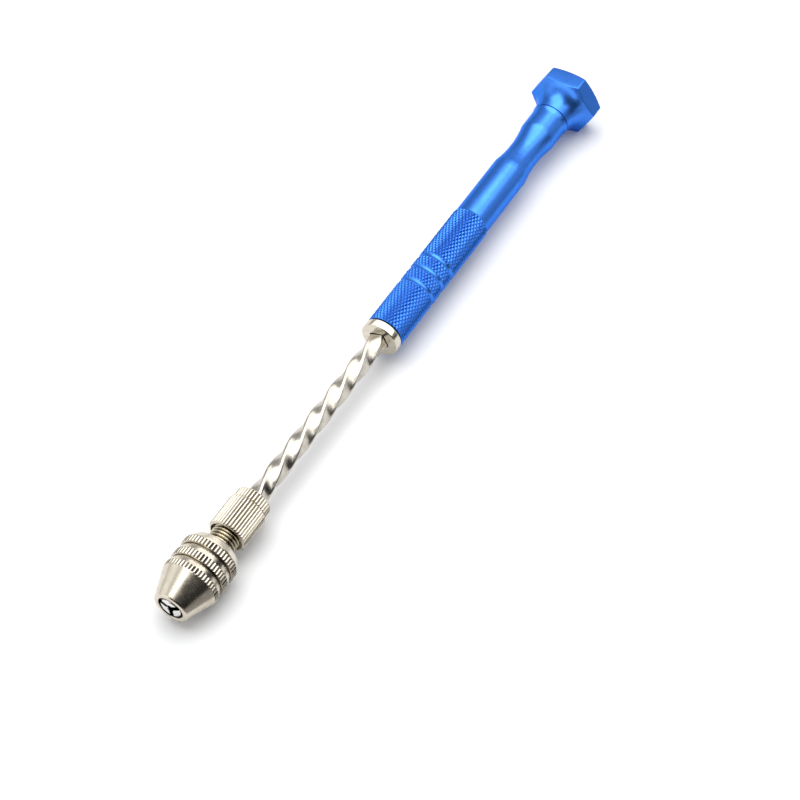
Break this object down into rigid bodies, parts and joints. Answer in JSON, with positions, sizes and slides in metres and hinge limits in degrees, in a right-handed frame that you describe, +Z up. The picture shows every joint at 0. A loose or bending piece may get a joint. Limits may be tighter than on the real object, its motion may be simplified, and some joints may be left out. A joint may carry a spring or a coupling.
{
  "type": "pin vise drill",
  "caption": "Spiral push drill: a knurled three-jaw chuck on a twisted square rod that turns as it slides into a slim waisted metal handle, with a free-turning hexagonal palm cap.",
  "frame": {"origin": "centre of the bounding box at the table, with the drill lying on one flat of its cap", "axes": "+X along the drill towards the chuck's nose, +Z up, +Y to the left seen from the cap"},
  "size_m": [0.206, 0.0208, 0.018],
  "materials": {
    "blue_anodised": "satin blue anodised aluminium, diamond knurled on the grip",
    "blue_cap": "satin blue anodised aluminium",
    "nickel_nut": "polished nickel plate",
    "nickel_rod": "bright nickel plate with drawn marks along the twist",
    "nickel_sleeve": "turned nickel plate, fine rings from the lathe, knurled bands",
    "nickel_insert": "turned nickel plate",
    "nickel_collar": "knurled nickel plate",
    "nickel_socket": "knurled nickel plate",
    "neck_plate": "cut thread, nickel plate worn slightly yellow",
    "jaw_steel": "ground hardened steel",
    "spring_steel": "drawn spring wire",
    "small_steel": "turned steel",
    "ball_steel": "polished bearing steel",
    "seat_brass": "turned brass",
    "nylon": "natural nylon",
    "seal_rubber": "black rubber"
  },
  "bodies": {
    "handle": {"handle_body": "blue_anodised", "nose_nut": "nickel_nut", "bump_washer": "nylon", "swivel_plug": "small_steel", "cap_clip": "small_steel", "cap_ball": "ball_steel", "return_spring": "spring_steel"},
    "palm_cap": {"hex_cap": "blue_cap"},
    "spring_follower": {"spring_seat": "seat_brass", "seat_ball": "ball_steel"},
    "spindle": {"spiral_rod": "nickel_rod", "rod_socket": "nickel_socket", "chuck_collar": "nickel_collar", "threaded_neck": "neck_plate", "stop_washer": "small_steel", "tail_screw": "small_steel"},
    "seal": {"neck_seal": "seal_rubber"},
    "sleeve": {"chuck_sleeve": "nickel_sleeve", "chuck_insert": "nickel_insert"},
    "jaw_a": {"jaw_1": "jaw_steel"},
    "jaw_b": {"jaw_2": "jaw_steel"},
    "jaw_c": {"jaw_3": "jaw_steel"},
    "jaw_spring_a": {"jaw_spring_1": "spring_steel"},
    "jaw_spring_b": {"jaw_spring_2": "spring_steel"},
    "jaw_spring_c": {"jaw_spring_3": "spring_steel"}
  },
  "joints": [
    {"name": "push_stroke", "type": "slide", "parent": "handle", "child": "spring_follower", "axis": [-1, 0, 0], "range_m": [0, 0.056], "stiffness_N_per_m": 100, "springref_m": -0.012, "deforming": ["return_spring"]},
    {"name": "rod_spin", "type": "hinge", "parent": "spring_follower", "child": "spindle", "pos_m": [-0.00765, 0, 0.009], "axis": [1, 0, 0], "range_deg": [0, 512]},
    {"name": "cap_swivel", "type": "hinge", "parent": "handle", "child": "palm_cap", "pos_m": [-0.093, 0, 0.009], "axis": [1, 0, 0], "continuous": true},
    {"name": "sleeve_advance", "type": "slide", "parent": "spindle", "child": "seal", "axis": [-1, 0, 0], "range_m": [-0.00225, 0.0025]},
    {"name": "sleeve_turn", "type": "hinge", "parent": "seal", "child": "sleeve", "pos_m": [0.091, 0, 0.009], "axis": [-1, 0, 0], "range_deg": [-810.4, 900.45]},
    {"name": "jaw_a_close", "type": "slide", "parent": "spindle", "child": "jaw_a", "axis": [0, -0.8988, 0.4384], "range_m": [-0.0006, 0.00067]},
    {"name": "jaw_b_close", "type": "slide", "parent": "spindle", "child": "jaw_b", "axis": [0, 0.0698, -0.9976], "range_m": [-0.0006, 0.00067]},
    {"name": "jaw_c_close", "type": "slide", "parent": "spindle", "child": "jaw_c", "axis": [0, 0.829, 0.5592], "range_m": [-0.0006, 0.00067]},
    {"name": "jaw_spring_a_follow", "type": "slide", "parent": "spindle", "child": "jaw_spring_a", "axis": [0, -0.829, -0.5592], "range_m": [-0.0003018, 0.00033533], "deforming": ["jaw_spring_1"]},
    {"name": "jaw_spring_b_follow", "type": "slide", "parent": "spindle", "child": "jaw_spring_b", "axis": [0, 0.8988, -0.4384], "range_m": [-0.0003018, 0.00033533], "deforming": ["jaw_spring_2"]},
    {"name": "jaw_spring_c_follow", "type": "slide", "parent": "spindle", "child": "jaw_spring_c", "axis": [0, -0.0698, 0.9976], "range_m": [-0.0003018, 0.00033533], "deforming": ["jaw_spring_3"]}
  ],
  "couplings": [
    {"joint": "rod_spin", "follows": "push_stroke", "rad_per_m": 159.47},
    {"joint": "sleeve_turn", "follows": "sleeve_advance", "rad_per_m": 6283.2},
    {"joint": "jaw_a_close", "follows": "sleeve_advance", "ratio": 0.268},
    {"joint": "jaw_b_close", "follows": "sleeve_advance", "ratio": 0.268},
    {"joint": "jaw_c_close", "follows": "sleeve_advance", "ratio": 0.268},
    {"joint": "jaw_spring_a_follow", "follows": "sleeve_advance", "ratio": 0.134},
    {"joint": "jaw_spring_b_follow", "follows": "sleeve_advance", "ratio": 0.134},
    {"joint": "jaw_spring_c_follow", "follows": "sleeve_advance", "ratio": 0.134}
  ]
}
